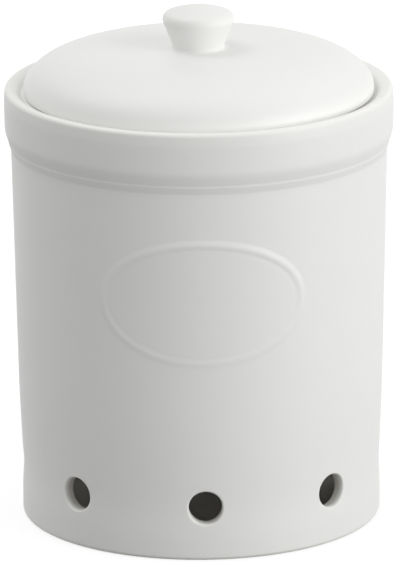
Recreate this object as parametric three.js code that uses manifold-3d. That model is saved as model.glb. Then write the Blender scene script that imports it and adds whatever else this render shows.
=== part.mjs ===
// Onion storage jar: a ceramic jar with a collar round its rim, a raised oval on its front
// and eight air vents round its foot, and a domed lid with a mushroom knob that drops inside the rim.
// Millimetres, +Z up. The origin is on the table under the middle of the jar, and the front faces -Y.

import * as THREE from 'three';
import { mergeVertices } from 'three/addons/utils/BufferGeometryUtils.js';
import Module from 'manifold-3d';

const wasm = await Module();
wasm.setup();

// Jar: heights above the table, and outside radii of the wall from the foot up
const jarHeight = 203.5;
const footRadius = 83.45;
const footBandHeight = 13.2;
const waistInset = 0.45;
const waistHeight = 22.5;
const bellySwell = 1.15;
const bellyHeight = 60;
const wallFlare = 2.35;
const wallThickness = 6;

// Base: a flat ring that the jar stands on, round a shallow recess
const floorThickness = 6;
const footRecessDepth = 2.5;
const footRingWidth = 10.5;
const footEdgeFillet = 2;
const footRingChamfer = 1;
const innerFloorFillet = 5.5;

// Collar round the rim
const collarDepth = 26.8;
const collarOverhang = 3.05;
const collarDraft = 0.5;
const collarUndersideRise = 4.8;
const collarLowerFillet = 4;
const collarRootFillet = 3;
const shoulderDrop = 6;
const shoulderDraft = 0.5;

// Lip and the gallery inside it, where the lid sits
const lipWidth = 4.9;
const lipOuterFillet = 2.1;
const lipInnerFillet = 6.5;
const gallerySlope = 3;
const galleryDepth = 3.2;
const galleryFillet = 1.5;
const ledgeWidth = 7.1;
const ledgeThickness = 5;
const throatFillet = 1.6;
const coveHeight = 7.5;

// Vents round the foot
const ventCount = 8;
const ventDiameter = 15.3;
const ventHeight = 25.1;
const ventEdgeFillet = 0.6;

// Raised oval moulding on the front, measured at its crest
const ovalWidth = 90;
const ovalHeight = 56.4;
const ovalPlaceShare = 0.64;
const ovalRise = 0.55;
const ovalOuterSlope = 3.2;
const ovalInnerSlope = 2.4;
const ovalSink = 0.15;
const ovalRoot = 1.4;

// Lid
const lidPlay = 1.1;
const seatGap = 0.3;
const lidEdgeHeight = 1.6;
const lidEdgeFillet = 1;
const domeRise = 19.2;
const lidThickness = 4.8;
const domeSideExponent = 4.367;
const domeTopExponent = 1.959;
const flangePlay = 1.2;
const flangeThickness = 4.2;
const flangeDepth = 8;
const flangeFillet = 1.2;
const flangeRootFillet = 0.6;

// Knob: a mushroom that tapers down to its neck
const knobRadius = 17.5;
const knobHeight = 19;
const knobCrownRise = 3.6;
const knobRimFillet = 3.4;
const knobNeckRadius = 12.1;
const knobNeckHeight = 1.7;
const knobNeckFillet = 4;
const knobFootFlare = 0.3;

// Facets round the turned pieces and along the curves
const jarSegments = 80;
const lidSegments = 60;
const knobSegments = 36;
const quarterSteps = 3;
const domeSteps = 12;
const hollowSteps = 6;
const crownSteps = 5;
const ventSegments = 16;
const ventFilletSteps = 2;
const ovalSegments = 72;
const ovalSlopeSteps = 3;
const cutOverrun = 3;

// Colours of the glaze
const glazeColour = 0xf4f3ee;
const glazeRoughness = 0.5;

// Sizes that follow from the ones above
const waistRadius = footRadius - waistInset;
const bellyRadius = footRadius + bellySwell;
const wallTopRadius = bellyRadius + wallFlare;
const collarRadius = wallTopRadius + collarOverhang;
const collarBase = jarHeight - collarDepth;
const lipInnerRadius = collarRadius - lipWidth;
const ledgeRadius = lipInnerRadius - gallerySlope;
const ledgeHeight = jarHeight - galleryDepth;
const throatRadius = ledgeRadius - ledgeWidth;
const floorTop = footRecessDepth + floorThickness;
const ovalCentreHeight = ventHeight + (collarBase - ventHeight) * ovalPlaceShare;
const lidRadius = ledgeRadius - lidPlay;
const seatHeight = ledgeHeight + seatGap;
const domeBase = seatHeight + lidEdgeHeight;
const lidTop = domeBase + domeRise;
const flangeRadius = throatRadius - flangePlay;
const flangeInnerRadius = flangeRadius - flangeThickness;
const knobBase = lidTop + seatGap;

// Shapes of outlines and meshes

// One corner of an outline: its distance from the axis, its height and the radius that rounds it.
function corner(radius, height, fillet = 0) {
  return { place: new THREE.Vector2(radius, height), fillet };
}

// Rounds the corners of an outline with arcs that touch both sides. Where two arcs need more than
// the side between them, both get smaller alike.
function roundedOutline(corners) {
  const sides = corners.slice(1).map(({ place }, index) => place.clone().sub(corners[index].place));
  const turns = corners.map((_, index) => {
    const [sideIn, sideOut] = [sides[index - 1], sides[index]];
    return sideIn && sideOut ? Math.atan2(sideIn.cross(sideOut), sideIn.dot(sideOut)) : 0;
  });
  const reaches = corners.map(({ fillet }, index) => fillet * Math.tan(Math.abs(turns[index]) / 2));
  const fitsSide = sides.map((side, index) => {
    const needed = reaches[index] + reaches[index + 1];
    return needed > side.length() ? side.length() / needed : 1;
  });
  const points = [];
  corners.forEach(({ place }, index) => {
    if (reaches[index] === 0) {
      points.push(place);
      return;
    }
    const turn = turns[index];
    const reach = reaches[index] * Math.min(fitsSide[index - 1], fitsSide[index]);
    const radius = reach / Math.tan(Math.abs(turn) / 2);
    const direction = sides[index - 1].clone().normalize();
    const start = place.clone().addScaledVector(direction, -reach);
    const towardsCentre = new THREE.Vector2(-direction.y, direction.x).multiplyScalar(Math.sign(turn));
    const centre = start.clone().addScaledVector(towardsCentre, radius);
    const steps = Math.max(1, Math.round((quarterSteps * Math.abs(turn)) / (Math.PI / 2)));
    for (let step = 0; step <= steps; step++) {
      points.push(start.clone().rotateAround(centre, (turn * step) / steps));
    }
  });
  return points;
}

// A quarter of a superellipse, from its widest point at the base up to the axis.
function domeOutline(radius, base, rise, steps) {
  const points = [];
  for (let step = 0; step <= steps; step++) {
    const angle = ((Math.PI / 2) * step) / steps;
    const across = step === steps ? 0 : radius * Math.cos(angle) ** (2 / domeSideExponent);
    points.push(new THREE.Vector2(across, base + rise * Math.sin(angle) ** (2 / domeTopExponent)));
  }
  return points;
}

// Turns an outline that starts and ends on the axis into a solid about the Z axis.
function turned(outline, segments) {
  const geometry = new THREE.LatheGeometry(outline, segments);
  geometry.rotateX(Math.PI / 2);
  return closedGeometry(geometry);
}

// Merges shared corners and drops the faces that have shrunk to nothing on the axis.
function closedGeometry(geometry) {
  geometry.deleteAttribute('normal');
  geometry.deleteAttribute('uv');
  const merged = mergeVertices(geometry);
  const corners = merged.index.array;
  const kept = [];
  for (let face = 0; face < corners.length; face += 3) {
    const [a, b, c] = [corners[face], corners[face + 1], corners[face + 2]];
    if (a !== b && b !== c && c !== a) {
      kept.push(a, b, c);
    }
  }
  merged.setIndex(kept);
  return merged;
}

// Joins rings of points into a closed skin. The rings close into a loop, or each end gets a cap.
function skinned(rings, looped) {
  const sides = rings[0].length;
  const places = rings.flat();
  const index = [];
  const bands = looped ? rings.length : rings.length - 1;
  for (let band = 0; band < bands; band++) {
    const near = band * sides;
    const far = ((band + 1) % rings.length) * sides;
    for (let side = 0; side < sides; side++) {
      const next = (side + 1) % sides;
      index.push(near + side, near + next, far + side);
      index.push(far + side, near + next, far + next);
    }
  }
  if (!looped) {
    const last = (rings.length - 1) * sides;
    for (let side = 1; side < sides - 1; side++) {
      index.push(0, side + 1, side);
      index.push(last, last + side, last + side + 1);
    }
  }
  const geometry = new THREE.BufferGeometry();
  geometry.setAttribute('position', new THREE.Float32BufferAttribute(places.flatMap((p) => p.toArray()), 3));
  geometry.setIndex(index);
  return geometry;
}

function solidFrom(geometry) {
  const vertProperties = new Float32Array(geometry.attributes.position.array);
  const triVerts = new Uint32Array(geometry.index.array);
  return new wasm.Manifold(new wasm.Mesh({ numProp: 3, vertProperties, triVerts }));
}

function geometryFrom(solid) {
  const { vertProperties, triVerts } = solid.getMesh();
  const geometry = new THREE.BufferGeometry();
  geometry.setAttribute('position', new THREE.BufferAttribute(vertProperties, 3));
  geometry.setIndex(new THREE.BufferAttribute(triVerts, 1));
  geometry.computeVertexNormals();
  return geometry;
}

function glazed(name, geometry) {
  const material = new THREE.MeshStandardMaterial({
    color: glazeColour,
    roughness: glazeRoughness,
    metalness: 0,
    flatShading: true,
  });
  const mesh = new THREE.Mesh(geometry, material);
  mesh.name = name;
  return mesh;
}

// Jar body

// Outside radius of the wall at a height between the foot and the collar, along straight pieces.
function wallRadiusAt(height) {
  const stations = [
    [footBandHeight, footRadius],
    [waistHeight, waistRadius],
    [bellyHeight, bellyRadius],
    [collarBase, wallTopRadius],
  ];
  const below = stations.slice(1, -1).filter(([stationHeight]) => stationHeight <= height).length;
  const [[lowHeight, lowRadius], [highHeight, highRadius]] = stations.slice(below, below + 2);
  const share = Math.max(0, (height - lowHeight) / (highHeight - lowHeight));
  return THREE.MathUtils.lerp(lowRadius, highRadius, share);
}

function jarOutline() {
  const recessRadius = footRadius - footEdgeFillet - footRingWidth;
  return roundedOutline([
    corner(0, footRecessDepth),
    corner(recessRadius - footRecessDepth, footRecessDepth),
    corner(recessRadius, 0, footRingChamfer),
    corner(footRadius, 0, footEdgeFillet),
    corner(footRadius, footBandHeight),
    corner(waistRadius, waistHeight),
    corner(bellyRadius, bellyHeight),
    corner(wallTopRadius, collarBase, collarRootFillet),
    corner(collarRadius - collarDraft, collarBase + collarUndersideRise, collarLowerFillet),
    corner(collarRadius, jarHeight - shoulderDrop),
    corner(collarRadius - shoulderDraft, jarHeight, lipOuterFillet),
    corner(lipInnerRadius, jarHeight, lipInnerFillet),
    corner(ledgeRadius, ledgeHeight, galleryFillet),
    corner(throatRadius, ledgeHeight, throatFillet),
    corner(throatRadius, ledgeHeight - ledgeThickness, throatFillet),
    corner(wallTopRadius - wallThickness, ledgeHeight - ledgeThickness - coveHeight, coveHeight),
    corner(footRadius - wallThickness, floorTop, innerFloorFillet),
    corner(0, floorTop),
  ]);
}

// A straight bore across the wall at the front, whose outer edge is rounded to follow the wall.
function ventCutter() {
  const boreRadius = ventDiameter / 2;
  const sections = [{ radius: boreRadius, depth: -wallThickness - cutOverrun }];
  for (let step = 0; step <= ventFilletSteps; step++) {
    const angle = ((Math.PI / 2) * step) / ventFilletSteps;
    sections.push({
      radius: boreRadius + ventEdgeFillet * (1 - Math.cos(angle)),
      depth: ventEdgeFillet * (Math.sin(angle) - 1),
    });
  }
  sections.push({ radius: boreRadius + ventEdgeFillet, depth: cutOverrun });
  const rings = sections.map(({ radius, depth }) => {
    const ring = [];
    for (let side = 0; side < ventSegments; side++) {
      const angle = (Math.PI * 2 * side) / ventSegments;
      const x = radius * Math.cos(angle);
      const z = ventHeight + radius * Math.sin(angle);
      const distance = wallRadiusAt(z) + depth;
      ring.push(new THREE.Vector3(x, -Math.sqrt(distance ** 2 - x ** 2), z));
    }
    return ring;
  });
  return skinned(rings, false);
}

// A point on the front of the wall: its place across and up from the oval's middle, and its rise.
function placeOnWall(across, up, rise) {
  const height = ovalCentreHeight + up;
  const distance = wallRadiusAt(height) + rise;
  const angle = across / wallRadiusAt(ovalCentreHeight);
  return new THREE.Vector3(distance * Math.sin(angle), -distance * Math.cos(angle), height);
}

// Carries a cross-section round the oval. Its points give the distance out from the crest line and the rise.
function sweptRoundOval(section) {
  const halfWidth = ovalWidth / 2;
  const halfHeight = ovalHeight / 2;
  const rings = [];
  for (let step = 0; step < ovalSegments; step++) {
    const angle = (Math.PI * 2 * step) / ovalSegments;
    const crest = new THREE.Vector2(halfWidth * Math.cos(angle), halfHeight * Math.sin(angle));
    const outward = new THREE.Vector2(halfHeight * Math.cos(angle), halfWidth * Math.sin(angle)).normalize();
    rings.push(section.map(({ out, rise }) => {
      const place = crest.clone().addScaledVector(outward, out);
      return placeOnWall(place.x, place.y, rise);
    }));
  }
  return skinned(rings, true);
}

// Heights along an S-shaped slope that starts and ends level.
function easedSlope(fromOut, toOut, fromRise, toRise) {
  const points = [];
  for (let step = 0; step <= ovalSlopeSteps; step++) {
    const share = step / ovalSlopeSteps;
    const eased = (1 - Math.cos(Math.PI * share)) / 2;
    points.push({
      out: THREE.MathUtils.lerp(fromOut, toOut, share),
      rise: THREE.MathUtils.lerp(fromRise, toRise, eased),
    });
  }
  return points;
}

// The moulding: a low rise from outside to the crest and a fall to the field. Both feet of it lie a
// little under the wall, which is made of flat facets.
function ovalMoulding() {
  return sweptRoundOval([
    { out: -ovalInnerSlope, rise: -ovalRoot },
    ...easedSlope(-ovalInnerSlope, 0, -ovalSink, ovalRise),
    ...easedSlope(0, ovalOuterSlope, ovalRise, -ovalSink).slice(1),
    { out: ovalOuterSlope, rise: -ovalRoot },
  ]);
}

function jarBody() {
  const vent = solidFrom(ventCutter());
  let body = solidFrom(turned(jarOutline(), jarSegments));
  body = body.add(solidFrom(ovalMoulding()));
  for (let copy = 0; copy < ventCount; copy++) {
    body = body.subtract(vent.rotate([0, 0, (360 * copy) / ventCount]));
  }
  return glazed('jar_body', geometryFrom(body));
}

// Lid, with its hollow underside and the flange that centres it in the throat

function lid() {
  const hollow = domeOutline(flangeInnerRadius, domeBase, domeRise - lidThickness, hollowSteps).reverse();
  const rim = roundedOutline([
    corner(flangeInnerRadius, domeBase),
    corner(flangeInnerRadius, seatHeight - flangeDepth, flangeFillet),
    corner(flangeRadius, seatHeight - flangeDepth, flangeFillet),
    corner(flangeRadius, seatHeight, flangeRootFillet),
    corner(lidRadius, seatHeight, lidEdgeFillet),
    corner(lidRadius, domeBase),
  ]);
  const dome = domeOutline(lidRadius, domeBase, domeRise, domeSteps);
  const outline = [...hollow, ...rim.slice(1), ...dome.slice(1)];
  return glazed('lid', turned(outline, lidSegments));
}

// Knob, turned by itself and stuck on the crown of the lid

function knob() {
  const crownBase = knobBase + knobHeight - knobCrownRise;
  const crown = [];
  for (let step = 1; step <= crownSteps; step++) {
    const inward = 1 - step / crownSteps;
    crown.push(corner(knobRadius * inward, crownBase + knobCrownRise * (1 - inward ** 2)));
  }
  const outline = roundedOutline([
    corner(0, knobBase),
    corner(knobNeckRadius + knobFootFlare, knobBase),
    corner(knobNeckRadius, knobBase + knobNeckHeight, knobNeckFillet),
    corner(knobRadius, crownBase, knobRimFillet),
    ...crown,
  ]);
  return glazed('lid_knob', turned(outline, knobSegments));
}

const jar = new THREE.Group();
jar.add(jarBody(), lid(), knob());

export default jar;
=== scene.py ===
import math

import bmesh
import bpy
import numpy as np
from mathutils import Matrix, Vector


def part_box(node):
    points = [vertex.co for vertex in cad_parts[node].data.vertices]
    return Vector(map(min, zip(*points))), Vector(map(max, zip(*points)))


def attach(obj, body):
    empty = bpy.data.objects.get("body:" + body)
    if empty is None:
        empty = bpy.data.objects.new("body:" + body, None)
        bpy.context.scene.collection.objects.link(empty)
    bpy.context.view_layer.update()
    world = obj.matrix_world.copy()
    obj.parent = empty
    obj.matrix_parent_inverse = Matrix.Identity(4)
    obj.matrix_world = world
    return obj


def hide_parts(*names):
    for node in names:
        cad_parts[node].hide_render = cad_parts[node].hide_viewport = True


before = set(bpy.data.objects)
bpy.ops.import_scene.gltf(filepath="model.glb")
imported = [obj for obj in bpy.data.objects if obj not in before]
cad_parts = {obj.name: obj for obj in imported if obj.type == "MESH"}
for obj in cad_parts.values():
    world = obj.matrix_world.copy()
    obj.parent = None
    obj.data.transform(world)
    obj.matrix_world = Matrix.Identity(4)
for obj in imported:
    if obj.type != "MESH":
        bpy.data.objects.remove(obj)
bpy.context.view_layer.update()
mm = 0.001
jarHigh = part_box("jar_body")[1]
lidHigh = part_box("lid")[1]
knobLow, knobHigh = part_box("lid_knob")
print("frame loaded, jar is", round(jarHigh[2] / mm, 1), "mm tall")

# Camera of the photograph, in metres, degrees and pixels. Its tilt is downwards, and its turn is round
# the jar's axis.
cameraSet = {
    "distance": 3.36205,
    "height": 1.07714,
    "tilt": 16.059,
    "roll": -0.383,
    "turn": -1.3,
    "focalPixels": 7533.0,
    "frameHeight": 562,
    "sensor": 36.0,
    "clipStart": 0.1,
    "clipEnd": 30.0,
}


def makeCamera():
    # The frame is taller than it is wide, so the sensor's size goes with the frame's height.
    data = bpy.data.cameras.new("photoCamera")
    data.sensor_width = cameraSet["sensor"]
    data.lens = cameraSet["focalPixels"] * cameraSet["sensor"] / cameraSet["frameHeight"]
    data.clip_start = cameraSet["clipStart"]
    data.clip_end = cameraSet["clipEnd"]
    camera = bpy.data.objects.new("photoCamera", data)
    bpy.context.collection.objects.link(camera)
    turned = Matrix.Rotation(math.radians(cameraSet["turn"]), 4, "Z")
    placed = Matrix.Translation((0, -cameraSet["distance"], cameraSet["height"]))
    tilted = Matrix.Rotation(math.radians(90 - cameraSet["tilt"]), 4, "X")
    rolled = Matrix.Rotation(math.radians(cameraSet["roll"]), 4, "Z")
    camera.matrix_world = turned @ placed @ tilted @ rolled
    bpy.context.scene.camera = camera


makeCamera()
print("camera placed")


# Node materials

def addNode(tree, kind, **settings):
    node = tree.nodes.new("ShaderNode" + kind)
    for name, value in settings.items():
        setattr(node, name, value)
    return node


def plug(tree, value, socket):
    # value is another node's socket or a plain value.
    if isinstance(value, bpy.types.NodeSocket):
        tree.links.new(value, socket)
    else:
        socket.default_value = value


def setSockets(tree, node, **values):
    for name, value in values.items():
        plug(tree, value, node.inputs[name.replace("_", " ")])


def mixColours(tree, factor, first, second):
    # A Mix node has sockets for every type of value: 6 and 7 are its two colours, and 2 the mixed one.
    node = addNode(tree, "Mix", data_type="RGBA")
    for slot, value in ((0, factor), (6, first), (7, second)):
        plug(tree, value, node.inputs[slot])
    return node.outputs[2]


def calculate(tree, operation, *terms, clamp=False):
    node = addNode(tree, "Math", operation=operation, use_clamp=clamp)
    for slot, term in enumerate(terms):
        plug(tree, term, node.inputs[slot])
    return node.outputs[0]


def readShare(tree, name):
    return addNode(tree, "Attribute", attribute_name=name).outputs["Fac"]


# White glaze. Each noise has its cells per metre, its octaves and their roughness, and depths are in
# metres.
glaze = {
    "warm": (0.895, 0.892, 0.868, 1),
    "cool": (0.868, 0.878, 0.866, 1),
    # lighter, warmer colour on outer edges: thin glaze and painted light
    "thinGlazeAndLight": (0.93, 0.915, 0.87, 1),
    # darker colour in hollows and creases: pooled glaze and painted shade
    "pooledGlazeAndShade": (0.78, 0.79, 0.765, 1),
    # darker, warmer colour on the inside of the jar: painted shade
    "insideShadeColour": (0.76, 0.735, 0.675, 1),
    "clay": (0.80, 0.765, 0.70, 1),
    "darkClay": (0.70, 0.66, 0.60, 1),
    "pinhole": (0.10, 0.09, 0.08, 1),
    "clouds": (14.0, 4.0, 0.5),
    "specks": (420.0, 2.0, 0.5),
    "ripples": (70.0, 2.0, 0.5),
    "peel": (1100.0, 3.0, 0.5),
    "grain": (2200.0, 4.0, 0.7),
    "speckShare": 0.3,
    # how far the edge share turns to painted light on outer edges and to painted shade in hollows
    "thinGlazeAndLightShare": 0.55,
    "pooledGlazeAndShadeShare": 0.2,
    "darkClayShare": 0.5,
    "pinholeScale": 46.0,
    "pinholeRadius": 0.011,  # in cells
    "pinholeShare": 0.06,
    "roughnessLow": 0.40,
    "roughnessHigh": 0.52,
    "clayRoughness": 0.4,  # more than the glaze's
    "rippleDepth": 0.00016,
    "peelDepth": 0.000018,
    "pinholePeels": 6.0,  # how many times as deep as the peel
    "grainPeels": 4.0,
    "refraction": 1.5,
}


def noiseAt(tree, place, scale, detail, roughness):
    node = addNode(tree, "TexNoise")
    setSockets(tree, node, Vector=place, Scale=scale, Detail=detail, Roughness=roughness)
    return node.outputs["Fac"]


def pinholesAt(tree, place):
    # 1 in the middle of a few cells of a cell pattern, and 0 elsewhere. A cell's random colour says
    # whether it is one of the few.
    cells = addNode(tree, "TexVoronoi", feature="F1")
    setSockets(tree, cells, Vector=place, Scale=glaze["pinholeScale"])
    chosen = calculate(tree, "LESS_THAN", cells.outputs["Color"], glaze["pinholeShare"])
    middle = calculate(tree, "LESS_THAN", cells.outputs["Distance"], glaze["pinholeRadius"])
    return calculate(tree, "MULTIPLY", chosen, middle)


def glazeColour(tree, clouds, specks, grain, pinhole, bare):
    # The colour drifts between a warm and a cool white with the sum of clouds and specks. On outer edges,
    # where the edge share is above 0, it is lighter and warmer: thin glaze and painted light. In hollows
    # and creases, where it is below 0, it is darker: pooled glaze and painted shade. The inside of the
    # jar gets a darker, warmer colour, which is painted shade.
    edge = readShare(tree, "edge")
    thinGlazeAndLight = calculate(tree, "MULTIPLY", edge, glaze["thinGlazeAndLightShare"], clamp=True)
    pooledGlazeAndShade = calculate(tree, "MULTIPLY", edge, -glaze["pooledGlazeAndShadeShare"], clamp=True)
    drift = calculate(tree, "MULTIPLY", clouds, 1 - glaze["speckShare"])
    drift = calculate(tree, "MULTIPLY_ADD", specks, glaze["speckShare"], drift)
    colour = mixColours(tree, drift, glaze["warm"], glaze["cool"])
    colour = mixColours(tree, thinGlazeAndLight, colour, glaze["thinGlazeAndLight"])
    colour = mixColours(tree, pooledGlazeAndShade, colour, glaze["pooledGlazeAndShade"])
    # painted shade on the inside of the wall and floor
    colour = mixColours(tree, readShare(tree, "insideShade"), colour, glaze["insideShadeColour"])
    colour = mixColours(tree, pinhole, colour, glaze["pinhole"])
    dark = calculate(tree, "MULTIPLY", grain, glaze["darkClayShare"])
    return mixColours(tree, bare, colour, mixColours(tree, dark, glaze["clay"], glaze["darkClay"]))


def glazeNormal(tree, ripples, peel, grain, pinhole, bare):
    # Slow ripples, and on them the fine peel less the pinholes, plus the grain where the clay is bare.
    ripple = addNode(tree, "Bump")
    setSockets(tree, ripple, Strength=1.0, Distance=glaze["rippleDepth"], Height=ripples)
    height = calculate(tree, "MULTIPLY_ADD", pinhole, -glaze["pinholePeels"], peel)
    bareGrain = calculate(tree, "MULTIPLY", grain, bare)
    height = calculate(tree, "MULTIPLY_ADD", bareGrain, glaze["grainPeels"], height)
    fine = addNode(tree, "Bump")
    setSockets(tree, fine, Strength=1.0, Distance=glaze["peelDepth"], Height=height)
    setSockets(tree, fine, Normal=ripple.outputs["Normal"])
    return fine.outputs["Normal"]


def makeGlaze(name, patternShift):
    # Each piece has its own shift in metres, so that no two show the same part of the patterns.
    material = bpy.data.materials.new(name)
    material.use_nodes = True
    tree = material.node_tree
    mapping = addNode(tree, "Mapping")
    objectPlace = addNode(tree, "TexCoord").outputs["Object"]
    setSockets(tree, mapping, Vector=objectPlace, Location=patternShift)
    place = mapping.outputs["Vector"]
    noises = ("clouds", "specks", "ripples", "peel", "grain")
    clouds, specks, ripples, peel, grain = [noiseAt(tree, place, *glaze[noise]) for noise in noises]
    pinhole = pinholesAt(tree, place)
    bare = readShare(tree, "bare")
    spread = glaze["roughnessHigh"] - glaze["roughnessLow"]
    roughness = calculate(tree, "MULTIPLY_ADD", clouds, spread, glaze["roughnessLow"])
    roughness = calculate(tree, "MULTIPLY_ADD", bare, glaze["clayRoughness"], roughness, clamp=True)
    shader = tree.nodes["Principled BSDF"]
    setSockets(tree, shader, Base_Color=glazeColour(tree, clouds, specks, grain, pinhole, bare))
    setSockets(tree, shader, Normal=glazeNormal(tree, ripples, peel, grain, pinhole, bare))
    setSockets(tree, shader, Roughness=roughness, IOR=glaze["refraction"])
    return material


# Outlines and meshes, in millimetres and degrees. Meshes are turned round the jar's axis, and an outline
# is a list of radii and heights.
shaping = {
    "arcStep": 8.0,  # turn from one point of an arc to the next
    "tiny": 1e-6,  # lengths below this count as none
    "fullCurve": 0.16,  # curvature, one over millimetres, that counts as a full edge
    "smoothings": 2,
    "calmRadius": 20.0,  # the unevenness fades out from here to the axis
    # of each wave: its share of the unevenness, how often it comes round the axis, and in radians its
    # drift in a millimetre of height and its start
    "waves": ((0.5, 2, 0.021, 0.6), (0.3, 3, -0.034, 2.1), (0.2, 1, 0.11, 4.0)),
}


def stepsTo(start, end, count):
    # Even steps from start to end, without start itself.
    return np.linspace(start, end, count + 1)[1:]


def roundedOutline(corners):
    # A corner with a radius becomes an arc that touches both of its sides. Where two arcs need more
    # than the side between them, both get smaller alike. Corners are radius, height and rounding.
    places = np.array([corner[:2] for corner in corners], float)
    rounding = np.array([corner[2] if len(corner) > 2 else 0 for corner in corners], float)
    sides = np.diff(places, axis=0)
    lengths = np.hypot(sides[:, 0], sides[:, 1])
    along = sides / lengths[:, None]
    turns = np.zeros(len(places))
    cross = along[:-1, 0] * along[1:, 1] - along[:-1, 1] * along[1:, 0]
    turns[1:-1] = np.arctan2(cross, (along[:-1] * along[1:]).sum(1))
    reach = rounding * np.tan(np.abs(turns) / 2)
    fits = np.minimum(1, lengths / np.maximum(reach[:-1] + reach[1:], shaping["tiny"]))
    points = []
    for index, place in enumerate(places):
        if reach[index] == 0:
            points.append(place[None])
            continue
        ownReach = reach[index] * min(fits[index - 1], fits[index])
        radius = ownReach / math.tan(abs(turns[index]) / 2)
        start = place - along[index - 1] * ownReach
        side = np.sign(turns[index]) * np.array([-along[index - 1, 1], along[index - 1, 0]])
        centre = start + side * radius
        count = max(2, math.ceil(abs(turns[index]) / math.radians(shaping["arcStep"])))
        angles = np.linspace(0, turns[index], count + 1)
        spoke = start - centre
        points.append(centre + np.stack([
            spoke[0] * np.cos(angles) - spoke[1] * np.sin(angles),
            spoke[0] * np.sin(angles) + spoke[1] * np.cos(angles),
        ], 1))
    outline = np.concatenate(points)
    apart = np.hypot(*np.diff(outline, axis=0).T) > shaping["tiny"]
    return outline[np.append(True, apart)]


def splitLong(outline, longest):
    # Even points are added along any side that is longer than the limit.
    pieces = [outline[:1]]
    for start, end in zip(outline[:-1], outline[1:]):
        count = max(1, math.ceil(np.hypot(*(end - start)) / longest))
        pieces.append(start + (end - start) * stepsTo(0, 1, count)[:, None])
    return np.concatenate(pieces)


def wobbleOf(angle, height, size):
    # A potter's unevenness: a sum of slow waves round the axis that drift with the height, less 1, so
    # that no radius grows.
    waves = [
        share * np.sin(count * angle + drift * height + start)
        for share, count, drift, start in shaping["waves"]
    ]
    return size * (sum(waves) - 1)


def aroundAxis(radius, angle, height):
    # Angle is measured from the front, -Y, towards +X.
    return np.stack([radius * np.sin(angle), -radius * np.cos(angle), height], -1)


def turnedMesh(outline, columns, wobble):
    # An outline that starts and ends on the axis, carried round it. Row and column numbers give a grid,
    # and the two rows on the axis are one vertex each.
    rows = outline[1:-1]
    angle = np.arange(columns) * 2 * math.pi / columns
    calm = np.minimum(1, rows[:, :1] / shaping["calmRadius"])
    radius = rows[:, :1] + wobbleOf(angle[None], rows[:, 1:], wobble) * calm
    height = np.repeat(rows[:, 1:], columns, 1)
    grid = aroundAxis(radius, np.broadcast_to(angle, radius.shape), height).reshape(-1, 3)
    ends = np.array([[0, 0, outline[0, 1]], [0, 0, outline[-1, 1]]])
    vertices = np.concatenate([grid, ends])
    row, column = np.meshgrid(np.arange(len(rows) - 1), np.arange(columns), indexing="ij")
    near = row * columns + column
    far = row * columns + (column + 1) % columns
    faces = np.stack([near, far, far + columns, near + columns], -1).reshape(-1, 4)
    ring = np.arange(columns)
    first = np.full(columns, len(grid))
    last = first + 1
    top = (len(rows) - 1) * columns
    capLow = np.stack([first, (ring + 1) % columns, ring, ring], -1)
    capHigh = np.stack([top + ring, top + (ring + 1) % columns, last, last], -1)
    return vertices, np.concatenate([faces, capLow, capHigh])


def edgeShares(vertices, faces, normals):
    # Mean curvature at each vertex, as a share of the full one. It is the mean, over the vertex's
    # neighbours, of how far each lies below it along its normal, divided by the squared distance. It is
    # above 0 on an outer edge and below 0 in a hollow, and each smoothing takes half from the neighbours.
    ends = np.concatenate([faces[:, [0, 1]], faces[:, [1, 2]], faces[:, [2, 3]], faces[:, [3, 0]]])
    ends = np.concatenate([ends, ends[:, ::-1]])
    ends = ends[ends[:, 0] != ends[:, 1]]
    steps = vertices[ends[:, 1]] - vertices[ends[:, 0]]
    squared = (steps ** 2).sum(1)
    drop = -(steps * normals[ends[:, 0]]).sum(1) / np.maximum(squared, shaping["tiny"])
    count = np.maximum(np.bincount(ends[:, 0], minlength=len(vertices)), 1)
    share = np.bincount(ends[:, 0], drop, len(vertices)) / count / shaping["fullCurve"]
    for _ in range(shaping["smoothings"]):
        share = (share + np.bincount(ends[:, 0], share[ends[:, 1]], len(vertices)) / count) / 2
    return np.clip(share, -1, 1)


def writeShare(mesh, name, shares):
    data = mesh.attributes.new(name, "FLOAT", "POINT").data
    data.foreach_set("value", np.broadcast_to(shares, len(data)).astype(np.float32))


def makePiece(name, vertices, faces, material, bare=0, insideShade=0):
    # Vertices are in millimetres, and a face whose last corner repeats the one before it is a triangle.
    # The glaze reads the three shares that are written on the mesh.
    mesh = bpy.data.meshes.new(name)
    kept = np.ones(faces.shape, bool)
    kept[:, 3] = faces[:, 3] != faces[:, 2]
    cornerCounts = kept.sum(1)
    mesh.vertices.add(len(vertices))
    mesh.loops.add(int(kept.sum()))
    mesh.polygons.add(len(faces))
    mesh.vertices.foreach_set("co", (vertices * mm).ravel())
    mesh.polygons.foreach_set("loop_start", np.cumsum(cornerCounts) - cornerCounts)
    mesh.loops.foreach_set("vertex_index", faces[kept])
    mesh.polygons.foreach_set("use_smooth", np.ones(len(faces), bool))
    mesh.update(calc_edges=True)
    work = bmesh.new()
    work.from_mesh(mesh)
    bmesh.ops.recalc_face_normals(work, faces=work.faces)
    work.to_mesh(mesh)
    work.free()
    normals = np.zeros(len(vertices) * 3, np.float32)
    mesh.vertices.foreach_get("normal", normals)
    writeShare(mesh, "edge", edgeShares(vertices, faces, normals.reshape(-1, 3)))
    writeShare(mesh, "bare", bare)
    # share of the inside, where the glaze gets painted shade
    writeShare(mesh, "insideShade", insideShade)
    mesh.materials.append(material)
    mesh.validate()
    piece = bpy.data.objects.new(name, mesh)
    bpy.context.collection.objects.link(piece)
    return piece


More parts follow.
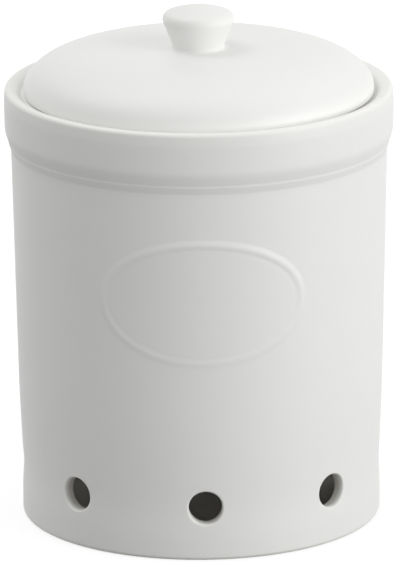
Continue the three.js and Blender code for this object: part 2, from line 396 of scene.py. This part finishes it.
# Jar, in millimetres. Radii and heights are those of the turned outline, fillets and bends are radii of
# arcs, and rows, columns and rings are counts.
jar = {
    "height": jarHigh[2] / mm,
    "wobble": 0.06,
    "columns": 288,
    "patternShift": (0, 0, 0),
    "recessRadius": 71.0,
    "recessDepth": 2.5,
    "recessFillet": 1.2,
    "footRadius": 83.45,
    "footFillet": 2.0,
    "footInnerFillet": 0.8,
    "footBandHeight": 13.2,
    "footBandBend": 160.0,
    "waistRadius": 83.0,
    "waistHeight": 22.5,
    "waistBend": 130.0,
    "bellyRadius": 84.6,
    "bellyHeight": 60.0,
    "bellyBend": 600.0,
    "wallTopRadius": 86.95,
    "wallThickness": 6.0,
    "wallStart": 4.5,  # height of the first row that is all wall
    "wallEndDrop": 5.0,  # from where the wall ends under the collar to the last row that is all wall
    "floorTop": 8.5,
    "floorFillet": 5.5,
    "collarRadius": 90.0,
    "collarDepth": 28.8,  # from the lip to where the wall ends under the collar
    "collarRootFillet": 4.0,
    "landOut": 1.15,  # a thin upright land in the collar's soft underside
    "landRise": 3.2,
    "landFillet": 1.6,
    "landTopOut": 1.2,
    "landTopRise": 4.2,
    "landTopFillet": 0.8,
    "collarRise": 9.2,  # from the end of the wall to the collar's lower edge
    "collarDraft": 0.2,
    "collarRoll": 12.0,
    "shoulderDrop": 6.0,
    "shoulderDraft": 0.5,
    "shoulderFillet": 16.0,
    "lipWidth": 4.9,
    "lipOuterFillet": 2.1,
    "lipInnerFillet": 6.5,
    "gallerySlope": 3.0,
    "galleryDepth": 3.2,
    "galleryFillet": 1.5,
    "ledgeWidth": 7.1,
    "ledgeThickness": 5.0,
    "ledgeFillet": 1.6,
    "coveHeight": 7.5,
    "innerStartDrop": 4.0,  # from the cove under the ledge to the first row that is all inner wall
    "footStep": 5.0,  # longest sides of the outline's parts
    "rimStep": 3.0,
    "floorStep": 8.0,
    "rowsBelowVents": 7,
    "rowsBelowOval": 17,
    "rowsAboveOval": 5,
    "rowsInside": 33,
    "bareBelow": 0.35,  # height up to which the foot has no glaze
    "bareBlend": 0.15,
    # the painted shade inside reaches this far below the floor's top
    "insideShadeMargin": 0.1,
}


def jarOutlines():
    # The outline from the middle of the underside, up the outside, over the lip and down to the floor,
    # in five parts: foot, outer wall, rim, inner wall and floor. Between its belly and its top the outer
    # wall's radius grows evenly with the height, and so does the inner wall's.
    collarBase = jar["height"] - jar["collarDepth"]
    lipInner = jar["collarRadius"] - jar["lipWidth"]
    ledgeRadius = lipInner - jar["gallerySlope"]
    ledgeHeight = jar["height"] - jar["galleryDepth"]
    throat = ledgeRadius - jar["ledgeWidth"]
    innerTop = ledgeHeight - jar["ledgeThickness"] - jar["coveHeight"]
    innerTopRadius = jar["wallTopRadius"] - jar["wallThickness"]
    innerFootRadius = jar["footRadius"] - jar["wallThickness"]
    wallEnd = collarBase - jar["wallEndDrop"]
    innerStart = innerTop - jar["innerStartDrop"]
    innerEnd = jar["floorTop"] + jar["floorFillet"]

    def outerRadius(height):
        share = (height - jar["bellyHeight"]) / (collarBase - jar["bellyHeight"])
        return jar["bellyRadius"] + (jar["wallTopRadius"] - jar["bellyRadius"]) * share

    def innerRadius(height):
        share = (height - jar["floorTop"]) / (innerTop - jar["floorTop"])
        return innerFootRadius + (innerTopRadius - innerFootRadius) * share

    foot = [
        (0, jar["recessDepth"]),
        (jar["recessRadius"] - jar["recessDepth"], jar["recessDepth"], jar["recessFillet"]),
        (jar["recessRadius"], 0, jar["footInnerFillet"]),
        (jar["footRadius"], 0, jar["footFillet"]),
        (jar["footRadius"], jar["wallStart"]),
    ]
    wall = [
        (jar["footRadius"], jar["wallStart"]),
        (jar["footRadius"], jar["footBandHeight"], jar["footBandBend"]),
        (jar["waistRadius"], jar["waistHeight"], jar["waistBend"]),
        (jar["bellyRadius"], jar["bellyHeight"], jar["bellyBend"]),
        (outerRadius(wallEnd), wallEnd),
    ]
    rim = [
        (outerRadius(wallEnd), wallEnd),
        (jar["wallTopRadius"], collarBase, jar["collarRootFillet"]),
        (jar["wallTopRadius"] + jar["landOut"], collarBase + jar["landRise"], jar["landFillet"]),
        (jar["wallTopRadius"] + jar["landTopOut"], collarBase + jar["landTopRise"], jar["landTopFillet"]),
        (jar["collarRadius"] - jar["collarDraft"], collarBase + jar["collarRise"], jar["collarRoll"]),
        (jar["collarRadius"], jar["height"] - jar["shoulderDrop"], jar["shoulderFillet"]),
        (jar["collarRadius"] - jar["shoulderDraft"], jar["height"], jar["lipOuterFillet"]),
        (lipInner, jar["height"], jar["lipInnerFillet"]),
        (ledgeRadius, ledgeHeight, jar["galleryFillet"]),
        (throat, ledgeHeight, jar["ledgeFillet"]),
        (throat, ledgeHeight - jar["ledgeThickness"], jar["ledgeFillet"]),
        (innerTopRadius, innerTop, jar["coveHeight"]),
        (innerRadius(innerStart), innerStart),
    ]
    inner = [(innerRadius(innerStart), innerStart), (innerRadius(innerEnd), innerEnd)]
    floor = [
        (innerRadius(innerEnd), innerEnd),
        (innerFootRadius, jar["floorTop"], jar["floorFillet"]),
        (0, jar["floorTop"]),
    ]
    return [roundedOutline(part) for part in (foot, wall, rim, inner, floor)]


def radiusAt(wall, height):
    # Radius of a wall at a height. The wall is a list of radii and heights, lowest first.
    return np.interp(height, wall[:, 1], wall[:, 0])


def unevenRadius(radius, angle, height):
    return radius + wobbleOf(angle, height, jar["wobble"])


def patchBorder(rows, left, right):
    # Grid places round a patch, anticlockwise from its lower left corner as seen from outside.
    below = [(0, column) for column in range(left, right)]
    rightSide = [(row, right) for row in range(rows)]
    above = [(rows, column) for column in range(right, left, -1)]
    leftSide = [(row, left) for row in range(rows, 0, -1)]
    return np.array(below + rightSide + above + leftSide)


def startGrid(outline):
    vertices, faces = turnedMesh(outline, jar["columns"], jar["wobble"])
    return {
        "vertices": [vertices],
        "vertexCount": len(vertices),
        "faces": faces,
        "gone": np.zeros(len(faces), bool),
        "newFaces": [],
    }


def takeOut(grid, firstRow, rows, middleColumn, columns):
    # Marks a patch of the grid's faces as gone. A face's row and column are those of its first corner.
    faces = grid["faces"]
    isQuad = faces[:, 2] != faces[:, 3]
    row = faces[:, 0] // jar["columns"]
    column = faces[:, 0] % jar["columns"]
    inRows = (row >= firstRow) & (row < firstRow + rows)
    inColumns = (column - middleColumn + columns // 2) % jar["columns"] < columns
    grid["gone"] |= isQuad & inRows & inColumns


def vertexNumbers(row, column):
    # Columns run on round the axis, past the last one and before the first.
    return row * jar["columns"] + column % jar["columns"]


def addVertices(grid, vertices):
    numbers = grid["vertexCount"] + np.arange(len(vertices))
    grid["vertices"].append(vertices)
    grid["vertexCount"] += len(vertices)
    return numbers


def addRings(grid, firstLoop, rings, lastLoop):
    # Bands of faces from one loop of vertex numbers, over rings of new vertices, to another loop.
    loops = [firstLoop, *[addVertices(grid, ring) for ring in rings], lastLoop]
    for near, far in zip(loops[:-1], loops[1:]):
        grid["newFaces"].append(np.stack([near, np.roll(near, -1), np.roll(far, -1), far], -1))


def finishGrid(grid):
    # The kept and the new faces together, and only the vertices that they use.
    vertices = np.concatenate(grid["vertices"])
    faces = np.concatenate([grid["faces"][~grid["gone"]], *grid["newFaces"]])
    used, places = np.unique(faces, return_inverse=True)
    return vertices[used], places.reshape(faces.shape)


# Air vents through the foot of the wall, in millimetres. A patch of the wall's grid gives way to each.
vents = {
    "count": 8,
    "height": 25.1,
    "radius": 7.65,
    "flare": 0.9,  # width of the outer edge's rounding, and below it the depth
    "edgeDepth": 2.2,
    "innerEdge": 0.5,
    "patchHalf": 10.4,  # half the patch's height
    "patchColumns": 12,
    "patchRows": 14,
    "wallRings": 5,
    "edgeRings": 7,
    "boreRings": 4,
    "innerEdgeRings": 4,
    "innerWallRings": 4,
}


def cutVent(grid, middleColumn, outerRow, innerRow, levels, outerWall, innerWall):
    # A loop of the wall's grid narrows to the bore's edge, a quarter of an ellipse deeper than it is
    # wide, runs through the wall and widens again to the same loop of the inner wall. A spot is a place
    # across the bore and one above its middle.
    half = vents["patchColumns"] // 2
    takeOut(grid, outerRow, vents["patchRows"], middleColumn, vents["patchColumns"])
    takeOut(grid, innerRow, vents["patchRows"], middleColumn, vents["patchColumns"])
    border = patchBorder(vents["patchRows"], middleColumn - half, middleColumn + half)
    outerLoop = vertexNumbers(outerRow + border[:, 0], border[:, 1])
    innerLoop = vertexNumbers(innerRow + vents["patchRows"] - border[:, 0], border[:, 1])
    step = 2 * math.pi / jar["columns"]
    turn = middleColumn * step
    angle = border[:, 1] * step - turn
    height = levels[border[:, 0]]
    rise = height - vents["height"]
    outerSpots = np.stack([radiusAt(outerWall, height) * np.sin(angle), rise], -1)
    innerSpots = np.stack([radiusAt(innerWall, height) * np.sin(angle), rise], -1)
    spoke = np.arctan2(rise / vents["patchHalf"], angle / (half * step))

    def circle(radius):
        return radius * np.stack([np.cos(spoke), np.sin(spoke)], -1)

    def ringAt(spots, wall, out):
        # The wall lies away from the axis by the root of its radius squared less the place across
        # squared. The ring is then turned round the axis to its vent.
        across, level = spots[:, 0], vents["height"] + spots[:, 1]
        wallRadius = radiusAt(wall, level)
        radius = unevenRadius(wallRadius + out, turn + across / wallRadius, level)
        away = np.sqrt(radius ** 2 - across ** 2)
        return np.stack([
            across * math.cos(turn) + away * math.sin(turn),
            across * math.sin(turn) - away * math.cos(turn),
            level,
        ], -1)

    radius, flare = vents["radius"], vents["flare"]
    edge, innerEdge = vents["edgeDepth"], vents["innerEdge"]
    outerMouth = circle(radius + flare)
    innerMouth = circle(radius + innerEdge)
    rings = []
    for share in stepsTo(0, 1, vents["wallRings"]):
        rings.append(ringAt(outerSpots + (outerMouth - outerSpots) * share, outerWall, 0))
    for bend in stepsTo(0, math.pi / 2, vents["edgeRings"]):
        spots = circle(radius + flare * (1 - math.sin(bend)))
        rings.append(ringAt(spots, outerWall, -edge * (1 - math.cos(bend))))
    boreStart = rings[-1]
    boreEnd = ringAt(circle(radius), innerWall, innerEdge)
    for share in stepsTo(0, 1, vents["boreRings"]):
        rings.append(boreStart + (boreEnd - boreStart) * share)
    for bend in stepsTo(math.pi / 2, 0, vents["innerEdgeRings"]):
        spots = circle(radius + innerEdge * (1 - math.sin(bend)))
        rings.append(ringAt(spots, innerWall, innerEdge * (1 - math.cos(bend))))
    for share in stepsTo(0, 1, vents["innerWallRings"])[:-1]:
        rings.append(ringAt(innerMouth + (innerSpots - innerMouth) * share, innerWall, 0))
    addRings(grid, outerLoop, rings, innerLoop)


# Raised oval on the front, in millimetres, with its shares and rings. The glaze fills it towards the
# lower left, opposite the direction in degrees where it is crispest.
oval = {
    "halfWidth": 47.2,
    "halfHeight": 28.05,
    "height": 122.6,
    "across": -0.8,
    "rise": 0.55,
    "outerSlope": 3.2,
    "innerSlope": 2.4,
    "grooveRise": 0.2,
    "grooveLift": 0.08,
    "grooveSlope": 1.8,
    "fieldRise": 0.3,
    "faintShare": 0.36,
    "crispest": 75,
    "outerMargin": 0.4,  # how far the moulding's rings run on past it
    "innerMargin": 0.3,
    "patchHalf": 38.0,  # half the patch's height
    "patchColumns": 60,
    "patchRows": 48,
    "wallRings": 8,
    "mouldingRings": 27,
    "fieldRings": 15,
    "middleShare": 0.04,
}


def halfWave(share):
    # From 0 to 1 along half a cosine wave.
    return (1 - np.cos(math.pi * np.clip(share, 0, 1))) / 2


def mouldingRise(out, groove):
    # Rise of the moulding at a distance out from its crest line: half a cosine wave down on the
    # outside, another down to the groove on the inside, and a last one to the field, which stands
    # proud itself.
    if out > 0:
        return oval["rise"] * (1 - halfWave(out / oval["outerSlope"]))
    inside = oval["rise"] + (groove - oval["rise"]) * halfWave(-out / oval["innerSlope"])
    back = halfWave((-out - oval["innerSlope"]) / oval["grooveSlope"])
    return inside + (oval["fieldRise"] - groove) * back


def raiseOval(grid, firstRow, levels, wall):
    # A loop of the wall's grid runs in to rings that follow the oval at even distances from its crest
    # line, then shrink to the middle of the field. Across the front, an arc is radius times angle.
    half = oval["patchColumns"] // 2
    takeOut(grid, firstRow, oval["patchRows"], 0, oval["patchColumns"])
    border = patchBorder(oval["patchRows"], -half, half)
    step = 2 * math.pi / jar["columns"]
    flatRadius = float(radiusAt(wall, oval["height"]))
    borderAcross = border[:, 1] * step * flatRadius - oval["across"]
    borderRise = levels[border[:, 0]] - oval["height"]
    spoke = np.arctan2(borderRise / oval["patchHalf"], border[:, 1] / half)
    cosine, sine = np.cos(spoke), np.sin(spoke)
    crest = np.stack([oval["halfWidth"] * cosine, oval["halfHeight"] * sine], -1)
    outward = np.stack([oval["halfHeight"] * cosine, oval["halfWidth"] * sine], -1)
    outward /= np.linalg.norm(outward, axis=1)[:, None]

    def onWall(place, rise):
        height = oval["height"] + place[:, 1]
        angle = (place[:, 0] + oval["across"]) / flatRadius
        return aroundAxis(unevenRadius(radiusAt(wall, height), angle, height) + rise, angle, height)

    # the relief is full at its crispest direction and a share of that opposite
    turned = spoke - math.radians(oval["crispest"])
    crisp = oval["faintShare"] + (1 - oval["faintShare"]) * (1 + np.cos(turned)) / 2
    # the groove inside the crest is deepest below the field and shallow above it
    groove = oval["grooveRise"] + oval["grooveLift"] * (1 + sine) / 2
    outFrom = oval["outerSlope"] + oval["outerMargin"]
    outTo = -(oval["innerSlope"] + oval["grooveSlope"] + oval["innerMargin"])
    borderSpots = np.stack([borderAcross, borderRise], -1)
    outerEdge = crest + outward * outFrom
    fieldEdge = crest + outward * outTo
    rings = []
    for share in stepsTo(0, 1, oval["wallRings"]):
        rings.append(onWall(borderSpots + (outerEdge - borderSpots) * share, 0))
    for out in stepsTo(outFrom, outTo, oval["mouldingRings"]):
        rings.append(onWall(crest + outward * out, mouldingRise(out, groove) * crisp))
    for share in stepsTo(1, oval["middleShare"], oval["fieldRings"]):
        evened = crisp.mean() + (crisp - crisp.mean()) * share
        rings.append(onWall(fieldEdge * share, oval["fieldRise"] * evened))
    middle = addVertices(grid, onWall(np.zeros((1, 2)), oval["fieldRise"] * crisp.mean()))
    # the last band closes on one vertex, so its faces are triangles
    firstLoop = vertexNumbers(firstRow + border[:, 0], border[:, 1])
    addRings(grid, firstLoop, rings, np.repeat(middle, len(border)))


def jarMesh():
    # The walls have a row of the grid at each level of the patches that the vents and the oval take.
    foot, wall, rim, inner, floor = jarOutlines()
    innerWall = inner[::-1]
    ventLow, ventHigh = vents["height"] - vents["patchHalf"], vents["height"] + vents["patchHalf"]
    ovalLow, ovalHigh = oval["height"] - oval["patchHalf"], oval["height"] + oval["patchHalf"]
    ventLevels = np.linspace(ventLow, ventHigh, vents["patchRows"] + 1)
    ovalLevels = np.linspace(ovalLow, ovalHigh, oval["patchRows"] + 1)
    belowVents = np.linspace(wall[0, 1], ventLow, jar["rowsBelowVents"] + 1)[:-1]
    belowOval = np.linspace(ventHigh, ovalLow, jar["rowsBelowOval"] + 1)[1:-1]
    aboveOval = stepsTo(ovalHigh, wall[-1, 1], jar["rowsAboveOval"])
    inside = np.linspace(inner[0, 1], ventHigh, jar["rowsInside"] + 1)[:-1]
    levels = np.concatenate([belowVents, ventLevels, belowOval, ovalLevels, aboveOval])
    innerLevels = np.concatenate([inside, ventLevels[::-1], inner[-1:, 1]])
    foot = splitLong(foot, jar["footStep"])[:-1]
    rim = splitLong(rim, jar["rimStep"])[1:-1]
    floor = splitLong(floor, jar["floorStep"])[1:]
    grid = startGrid(np.concatenate([
        foot,
        np.stack([radiusAt(wall, levels), levels], 1),
        rim,
        np.stack([radiusAt(innerWall, innerLevels), innerLevels], 1),
        floor,
    ]))
    # the foot's first point lies on the axis and is no row of the grid
    wallRow = len(foot) - 1
    ventRow = wallRow + len(belowVents)
    ovalRow = ventRow + len(ventLevels) + len(belowOval)
    innerVentRow = wallRow + len(levels) + len(rim) + len(inside)
    for vent in range(vents["count"]):
        middleColumn = vent * jar["columns"] // vents["count"]
        cutVent(grid, middleColumn, ventRow, innerVentRow, ventLevels, wall, innerWall)
    raiseOval(grid, ovalRow, ovalLevels, wall)
    return finishGrid(grid)


def bareShares(vertices):
    # The foot ring's underside is bare clay, and over a short height it turns to glaze.
    return np.clip((jar["bareBelow"] - vertices[:, 2]) / jar["bareBlend"] + 0.5, 0, 1)


def insideShadeShares(vertices):
    # 1 on the inside of the wall and floor and 0 elsewhere. There the glaze gets a darker, warmer colour,
    # which is painted shade. The inside lies within the middle of the wall's thickness.
    heights = (jar["floorTop"], jar["height"] - jar["collarDepth"])
    middles = np.array([jar["footRadius"], jar["wallTopRadius"]]) - jar["wallThickness"] / 2
    within = np.hypot(vertices[:, 0], vertices[:, 1]) < np.interp(vertices[:, 2], heights, middles)
    aboveFloor = vertices[:, 2] > jar["floorTop"] - jar["insideShadeMargin"]
    belowLedge = vertices[:, 2] < jar["height"] - jar["galleryDepth"] - jar["ledgeThickness"]
    return within & aboveFloor & belowLedge


def makeJar():
    vertices, faces = jarMesh()
    material = makeGlaze("jarGlaze", jar["patternShift"])
    return makePiece("jar", vertices, faces, material, bareShares(vertices), insideShadeShares(vertices))


jarPiece = makeJar()
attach(jarPiece, "jar")
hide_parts("jar_body")
print("jar made with", len(jarPiece.data.polygons), "faces")


# Lid, in millimetres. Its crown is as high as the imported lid's.
lid = {
    "radius": 81.0,
    "seat": 200.6,
    "top": lidHigh[2] / mm,
    "edgeHeight": 1.6,
    "edgeFillet": 1.0,
    "thickness": 4.8,
    "flangeRadius": 73.8,
    "flangeThickness": 4.2,
    "flangeDepth": 8.0,
    "flangeFillet": 1.6,
    "rootFillet": 0.8,
    "sidePower": 4.367,
    "topPower": 1.959,
    "wobble": 0.04,
    "columns": 240,
    "domeRows": 90,
    "hollowRows": 40,
    "rimStep": 1.6,
    "patternShift": (0.37, 0.259, -0.37),
}


def domeOutline(radius, base, rise, rows):
    # A quarter of a superellipse, from its widest point up to the axis: the radius times a power of the
    # cosine, and the rise times a power of the sine.
    angle = np.linspace(0, math.pi / 2, rows + 1)
    across = radius * np.maximum(np.cos(angle), 0) ** (2 / lid["sidePower"])
    across[-1] = 0
    return np.stack([across, base + rise * np.sin(angle) ** (2 / lid["topPower"])], 1)


def lidOutline():
    # From the top of the hollow down to the flange, out over the seat and the edge, and up the dome.
    domeBase = lid["seat"] + lid["edgeHeight"]
    domeRise = lid["top"] - domeBase
    flangeFoot = lid["seat"] - lid["flangeDepth"]
    inner = lid["flangeRadius"] - lid["flangeThickness"]
    hollow = domeOutline(inner, domeBase, domeRise - lid["thickness"], lid["hollowRows"])[::-1]
    rim = roundedOutline([
        (inner, domeBase),
        (inner, flangeFoot, lid["flangeFillet"]),
        (lid["flangeRadius"], flangeFoot, lid["flangeFillet"]),
        (lid["flangeRadius"], lid["seat"], lid["rootFillet"]),
        (lid["radius"], lid["seat"], lid["edgeFillet"]),
        (lid["radius"], domeBase),
    ])
    dome = domeOutline(lid["radius"], domeBase, domeRise, lid["domeRows"])
    return np.concatenate([hollow, splitLong(rim, lid["rimStep"])[1:], dome[1:]])


def makeLid():
    vertices, faces = turnedMesh(lidOutline(), lid["columns"], lid["wobble"])
    return makePiece("lid_shell", vertices, faces, makeGlaze("lidGlaze", lid["patternShift"]))


lidPiece = makeLid()
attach(lidPiece, "lid")
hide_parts("lid")
print("lid made with", len(lidPiece.data.polygons), "faces")


# Knob, in millimetres, with the bead of slip that holds it on the crown
knob = {
    "base": knobLow[2] / mm,
    "top": knobHigh[2] / mm,
    "radius": 17.6,
    "crownRise": 3.6,
    "crownRows": 23,
    "rimRows": 5,  # of the crown's rows, those that the rounded rim takes up
    "rimFillet": 3.4,
    "neckRadius": 12.1,
    "neckHeight": 1.7,
    "neckFillet": 4.0,
    "beadFillet": 1.0,
    "beadReach": 1.3,
    "beadDrop": 0.25,
    "beadThickness": 0.02,
    "rootDepth": 0.6,
    "wobble": 0.03,
    "columns": 144,
    "sideStep": 0.9,
    "patternShift": (0.81, 0.567, -0.81),
}


def knobOutline():
    # The side from the root inside the lid up to the rim, and then the crown, a parabola up to the
    # axis.
    crownBase = knob["top"] - knob["crownRise"]
    beadBase = knob["base"] - knob["beadDrop"]
    rootBase = knob["base"] - knob["rootDepth"]
    beadRadius = knob["neckRadius"] + knob["beadReach"]
    away = 1 - stepsTo(0, 1, knob["crownRows"])
    crown = np.stack([knob["radius"] * away, crownBase + knob["crownRise"] * (1 - away ** 2)], 1)
    side = roundedOutline([
        (0, rootBase),
        (beadRadius, rootBase),
        (beadRadius, beadBase - knob["beadThickness"]),
        (knob["neckRadius"], beadBase, knob["beadFillet"]),
        (knob["neckRadius"], knob["base"] + knob["neckHeight"], knob["neckFillet"]),
        (knob["radius"], crownBase, knob["rimFillet"]),
        tuple(crown[knob["rimRows"] - 1]),
    ])
    return np.concatenate([splitLong(side, knob["sideStep"]), crown[knob["rimRows"]:]])


def makeKnob():
    vertices, faces = turnedMesh(knobOutline(), knob["columns"], knob["wobble"])
    return makePiece("knob", vertices, faces, makeGlaze("knobGlaze", knob["patternShift"]))


knobPiece = makeKnob()
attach(knobPiece, "lid")
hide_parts("lid_knob")
print("knob made with", len(knobPiece.data.polygons), "faces")


# Floor, lamps and world, in metres
studio = {
    "floorSize": 14.0,
    "floorColour": (0.27, 0.27, 0.27, 1),
    "floorRoughness": 0.9,
    "white": (1, 1, 1, 1),
    "liftNear": 0.76,
    "liftFar": 1.0,
    "nearRadius": 0.3,
    "farRadius": 1.2,
    "worldStrength": 0.60,
    "aimHeight": 0.11,
    "lamps": {
        # name: direction round from the front in degrees, height in degrees, distance, width, power
        "key": (60, 15, 2.2, 1.7, 24.5),
        "back": (-120, 60, 2.2, 1.7, 12.0),
    },
}


def seenStraight(tree):
    # 1 for what the camera sees itself, in a reflection or through glass, and 0 for what only lights.
    seen = addNode(tree, "LightPath")
    rays = calculate(tree, "MAXIMUM", seen.outputs["Is Camera Ray"], seen.outputs["Is Glossy Ray"])
    return calculate(tree, "MAXIMUM", rays, seen.outputs["Is Transmission Ray"])


def floorMaterial():
    # The lift to white grows with the distance from the jar, so the shadow round its foot stays.
    material = bpy.data.materials.new("paleFloor")
    material.use_nodes = True
    tree = material.node_tree
    shader = tree.nodes["Principled BSDF"]
    setSockets(tree, shader, Base_Color=studio["floorColour"], Roughness=studio["floorRoughness"])
    distance = addNode(tree, "VectorMath", operation="LENGTH")
    plug(tree, addNode(tree, "TexCoord").outputs["Object"], distance.inputs[0])
    lift = addNode(tree, "MapRange", interpolation_type="SMOOTHSTEP")
    setSockets(tree, lift, Value=distance.outputs["Value"])
    setSockets(tree, lift, From_Min=studio["nearRadius"], From_Max=studio["farRadius"])
    setSockets(tree, lift, To_Min=studio["liftNear"], To_Max=studio["liftFar"])
    strength = calculate(tree, "MULTIPLY", seenStraight(tree), lift.outputs["Result"])
    glow = addNode(tree, "Emission")
    setSockets(tree, glow, Color=studio["white"], Strength=strength)
    both = addNode(tree, "AddShader")
    tree.links.new(shader.outputs["BSDF"], both.inputs[0])
    tree.links.new(glow.outputs["Emission"], both.inputs[1])
    tree.links.new(both.outputs["Shader"], tree.nodes["Material Output"].inputs["Surface"])
    return material


def makeFloor():
    half = studio["floorSize"] / 2
    corners = [(-half, -half, 0), (half, -half, 0), (half, half, 0), (-half, half, 0)]
    mesh = bpy.data.meshes.new("floor")
    mesh.from_pydata(corners, [], [(0, 1, 2, 3)])
    mesh.materials.append(floorMaterial())
    floor = bpy.data.objects.new("floor", mesh)
    bpy.context.collection.objects.link(floor)


def makeLamps():
    aim = Vector((0, 0, studio["aimHeight"]))
    for name, (around, rise, distance, width, power) in studio["lamps"].items():
        data = bpy.data.lights.new(name, "AREA")
        data.shape = "DISK"
        data.size = width
        data.energy = power
        lamp = bpy.data.objects.new(name, data)
        bpy.context.collection.objects.link(lamp)
        around, rise = math.radians(around), math.radians(rise)
        level = Vector((math.sin(around), -math.cos(around), 0)) * math.cos(rise)
        away = level + Vector((0, 0, math.sin(rise)))
        lamp.location = aim + away * distance
        lamp.rotation_euler = away.to_track_quat("Z", "Y").to_euler()


def makeWorld():
    world = bpy.data.worlds.new("studioWorld")
    bpy.context.scene.world = world
    world.use_nodes = True
    tree = world.node_tree
    strength = calculate(tree, "MAXIMUM", seenStraight(tree), studio["worldStrength"])
    setSockets(tree, tree.nodes["Background"], Color=studio["white"], Strength=strength)


makeFloor()
makeLamps()
makeWorld()
bpy.context.scene.view_settings.view_transform = "Standard"
print("studio made")
